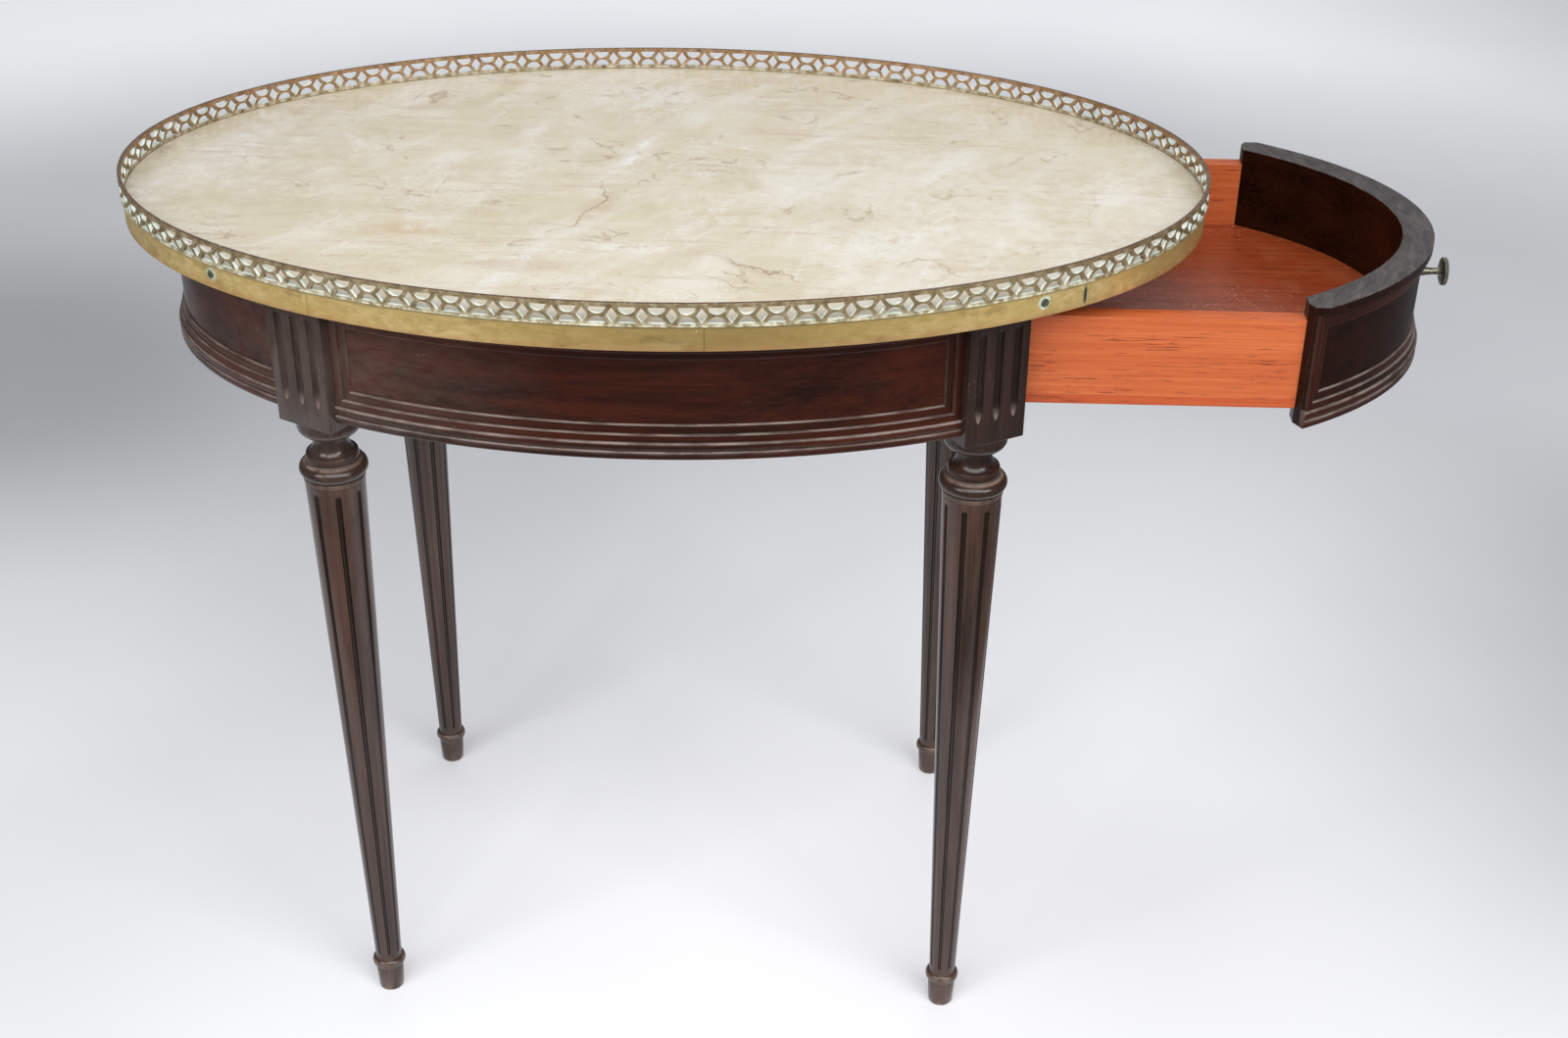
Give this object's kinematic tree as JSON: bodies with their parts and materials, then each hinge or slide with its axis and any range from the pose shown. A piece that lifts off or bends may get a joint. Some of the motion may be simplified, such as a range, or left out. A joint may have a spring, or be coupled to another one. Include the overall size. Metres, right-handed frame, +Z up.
{
  "type": "oval centre table with end drawer",
  "caption": "Oval centre table with a marble top, pierced brass gallery, fluted tapering legs and a curved drawer in one end.",
  "frame": {"origin": "on the floor under the middle of the whole length, from the gallery's left end to the knob with the drawer drawn out", "axes": "+X along the length to the drawer end, +Y to the back away from the pictured side, +Z up"},
  "size_m": [1.1096, 0.57, 0.76],
  "materials": {
    "mahogany_dark": "dark satin varnish with worn edges",
    "drawer_wood": "thin oiled orange-red wood with dark grain",
    "carcase_wood": "plain unpolished wood",
    "band_brass": "tarnished sheet brass",
    "gallery_brass": "brown tarnished brass with pale verdigris",
    "knob_bronze": "dull grey-green bronze",
    "screw_steel": "dull steel",
    "marble": "polished cream marble, opaque"
  },
  "bodies": {
    "table_frame": {"apron_back": "mahogany_dark", "apron_back_base": "mahogany_dark", "apron_back_frame": "mahogany_dark", "apron_front": "mahogany_dark", "apron_front_base": "mahogany_dark", "apron_front_frame": "mahogany_dark", "apron_left": "mahogany_dark", "apron_left_base": "mahogany_dark", "apron_left_frame": "mahogany_dark", "band_screws": "band_brass", "band_strip_1": "band_brass", "band_strip_2": "band_brass", "band_strip_3": "band_brass", "band_strip_4": "band_brass", "band_strip_5": "band_brass", "band_strip_6": "band_brass", "band_strip_7": "band_brass", "band_strip_8": "band_brass", "cross_rail": "carcase_wood", "drawer_kicker_back": "carcase_wood", "drawer_kicker_front": "carcase_wood", "drawer_runner_back": "carcase_wood", "drawer_runner_front": "carcase_wood", "drawer_stop": "carcase_wood", "drawer_stop_screw": "screw_steel", "gallery": "gallery_brass", "glue_blocks": "carcase_wood", "kicker_screws": "screw_steel", "leg_back_left": "mahogany_dark", "leg_back_right": "mahogany_dark", "leg_front_left": "mahogany_dark", "leg_front_right": "mahogany_dark", "marble_top": "marble", "top_board": "carcase_wood"},
    "drawer": {"drawer_front": "mahogany_dark", "drawer_front_frame": "mahogany_dark", "drawer_front_base": "mahogany_dark", "drawer_side_front": "drawer_wood", "drawer_side_back": "drawer_wood", "drawer_slip_front": "drawer_wood", "drawer_slip_back": "drawer_wood", "drawer_back": "drawer_wood", "drawer_bottom": "drawer_wood", "knob_rose": "knob_bronze", "drawer_knob": "knob_bronze", "knob_screw": "screw_steel"}
  },
  "joints": [
    {"name": "drawer_slide", "type": "slide", "parent": "table_frame", "child": "drawer", "axis": [1, 0, 0], "range_m": [-0.221, 0.03]}
  ]
}
